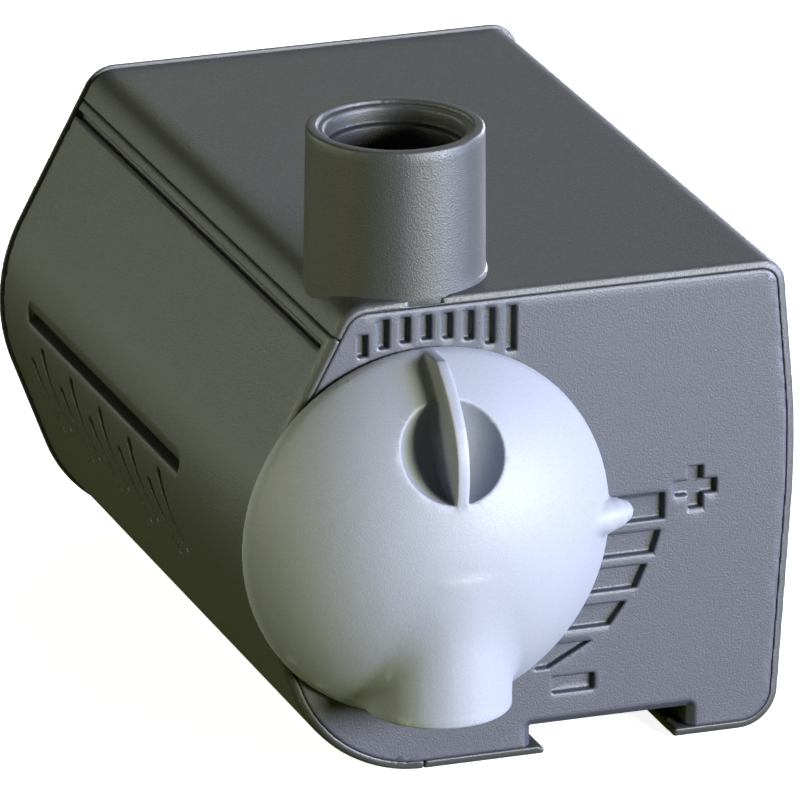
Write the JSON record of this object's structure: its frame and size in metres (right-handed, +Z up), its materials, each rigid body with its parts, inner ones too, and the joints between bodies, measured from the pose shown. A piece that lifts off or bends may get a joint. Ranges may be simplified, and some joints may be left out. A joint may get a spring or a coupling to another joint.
{
  "type": "fountain submersible pump",
  "caption": "Small submersible fountain pump with an upright outlet tube, a domed flow dial with an inlet hood on its front, and a slotted strainer panel on one side.",
  "frame": {"origin": "middle of the bounding box in plan, on the plane that the flat base stands on", "axes": "+Z up along the outlet tube, -Y out of the front plate with the dial, +X to the right as seen from the front"},
  "size_m": [0.0542, 0.09, 0.06],
  "materials": {
    "shell_plastic": "fine spark-eroded grain, matte",
    "front_plastic": "fine spark-eroded grain, matte",
    "dial_plastic": "pale blue-grey, fine matte grain",
    "inner_plastic": "smooth satin",
    "impeller_plastic": "smooth moulded",
    "bobbin_plastic": "glass-filled nylon",
    "rubber": "matte black rubber",
    "steel": "stainless, brushed",
    "ceramic": "polished ceramic",
    "ferrite": "sintered ferrite",
    "laminations": "stacked electrical steel",
    "copper": "enamelled copper wire",
    "tin": "tinned metal",
    "resin": "cast epoxy"
  },
  "bodies": {
    "housing": {"housing_shell": "shell_plastic", "rear_cover": "shell_plastic", "rear_screws": "steel", "cable_gland": "rubber", "pump_chamber": "shell_plastic", "chamber_cover": "inner_plastic", "chamber_seal": "rubber", "chamber_screws": "steel", "rotor_shaft": "ceramic", "front_bush": "rubber", "rear_bush": "rubber", "rotor_can": "inner_plastic", "motor_housing": "inner_plastic", "potting_resin": "resin", "stator_core": "laminations", "coil_bobbins": "bobbin_plastic", "coil_windings": "copper", "thermal_fuse": "tin", "lead_joints": "tin", "rubber_buffers": "rubber"},
    "side_panel": {"side_cover": "shell_plastic"},
    "front_panel": {"front_cover": "front_plastic"},
    "dial": {"flow_dial": "dial_plastic", "dial_clip": "steel"},
    "rotor": {"impeller": "impeller_plastic", "rotor_carrier": "impeller_plastic", "rotor_magnet": "ferrite", "thrust_washers": "ceramic"}
  },
  "joints": [
    {"name": "side_cover_pull", "type": "slide", "parent": "housing", "child": "side_panel", "axis": [-1, 0, 0], "range_m": [0, 0.02]},
    {"name": "front_cover_pull", "type": "slide", "parent": "housing", "child": "front_panel", "axis": [0, -1, 0], "range_m": [0, 0.03]},
    {"name": "dial_turn", "type": "hinge", "parent": "front_panel", "child": "dial", "pos_m": [-0.0093, -0.034, 0.0237], "axis": [0, 1, 0], "range_deg": [0, 50]},
    {"name": "impeller_spin", "type": "hinge", "parent": "housing", "child": "rotor", "pos_m": [-0.0093, -0.024, 0.0237], "axis": [0, 1, 0], "continuous": true}
  ]
}
